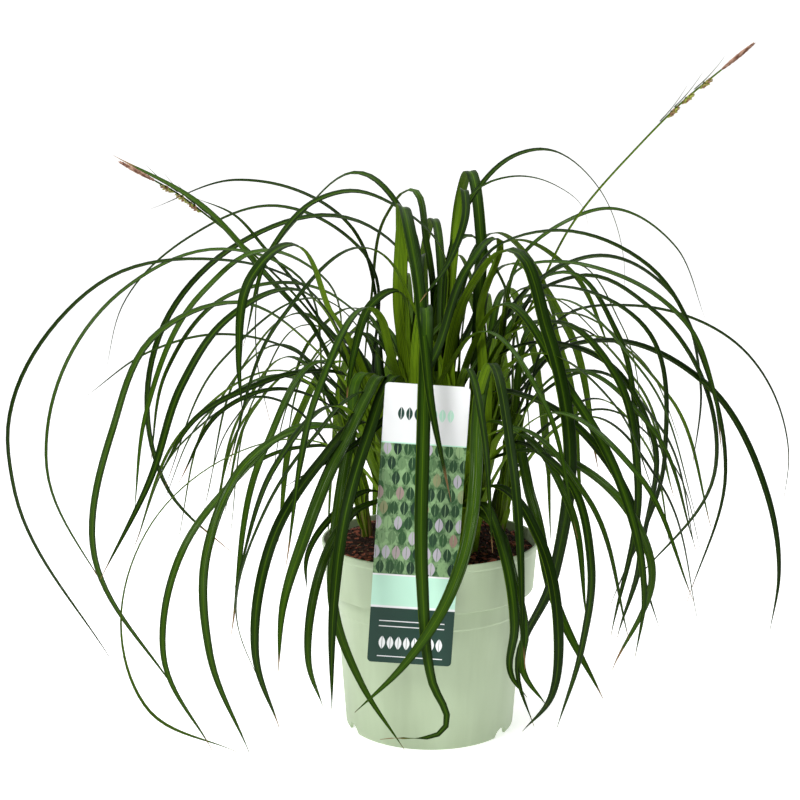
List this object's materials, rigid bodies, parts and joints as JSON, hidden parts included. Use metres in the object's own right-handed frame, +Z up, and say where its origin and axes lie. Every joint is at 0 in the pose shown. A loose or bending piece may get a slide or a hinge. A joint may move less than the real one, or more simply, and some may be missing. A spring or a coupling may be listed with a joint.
{
  "type": "carex sedge in its nursery pot",
  "caption": "Clump of narrow arching evergreen sedge leaves with two thin flower stalks, growing in a round plastic nursery pot with a tall plant label hooked on its rim.",
  "frame": {"origin": "middle of the pot's base, on the surface it stands on", "axes": "+Z up along the pot's axis; the label hangs on the front of the rim, at -Y; +X to the right as seen from the front"},
  "size_m": [0.61, 0.4699, 0.5314],
  "materials": {
    "pot": "moulded, satin, pale sage green",
    "soil": "loose dark potting mix with bark",
    "label": "printed plastic tag",
    "shoot": "living sedge leaf, satin, finely ribbed",
    "male_spike": "dry brown scales"
  },
  "bodies": {
    "root": {"pot": "pot", "soil": "soil", "label": "label", "shoot_back": "shoot", "shoot_back_left": "shoot", "shoot_back_right": "shoot", "shoot_far_left": "shoot", "shoot_far_right": "shoot", "shoot_left": "shoot", "shoot_right": "shoot", "shoot_front_left": "shoot", "shoot_front": "shoot", "shoot_front_right": "shoot", "shoot_centre_left": "shoot", "shoot_centre_right": "shoot", "male_spike_left": "male_spike", "male_spike_right": "male_spike"}
  },
  "joints": []
}
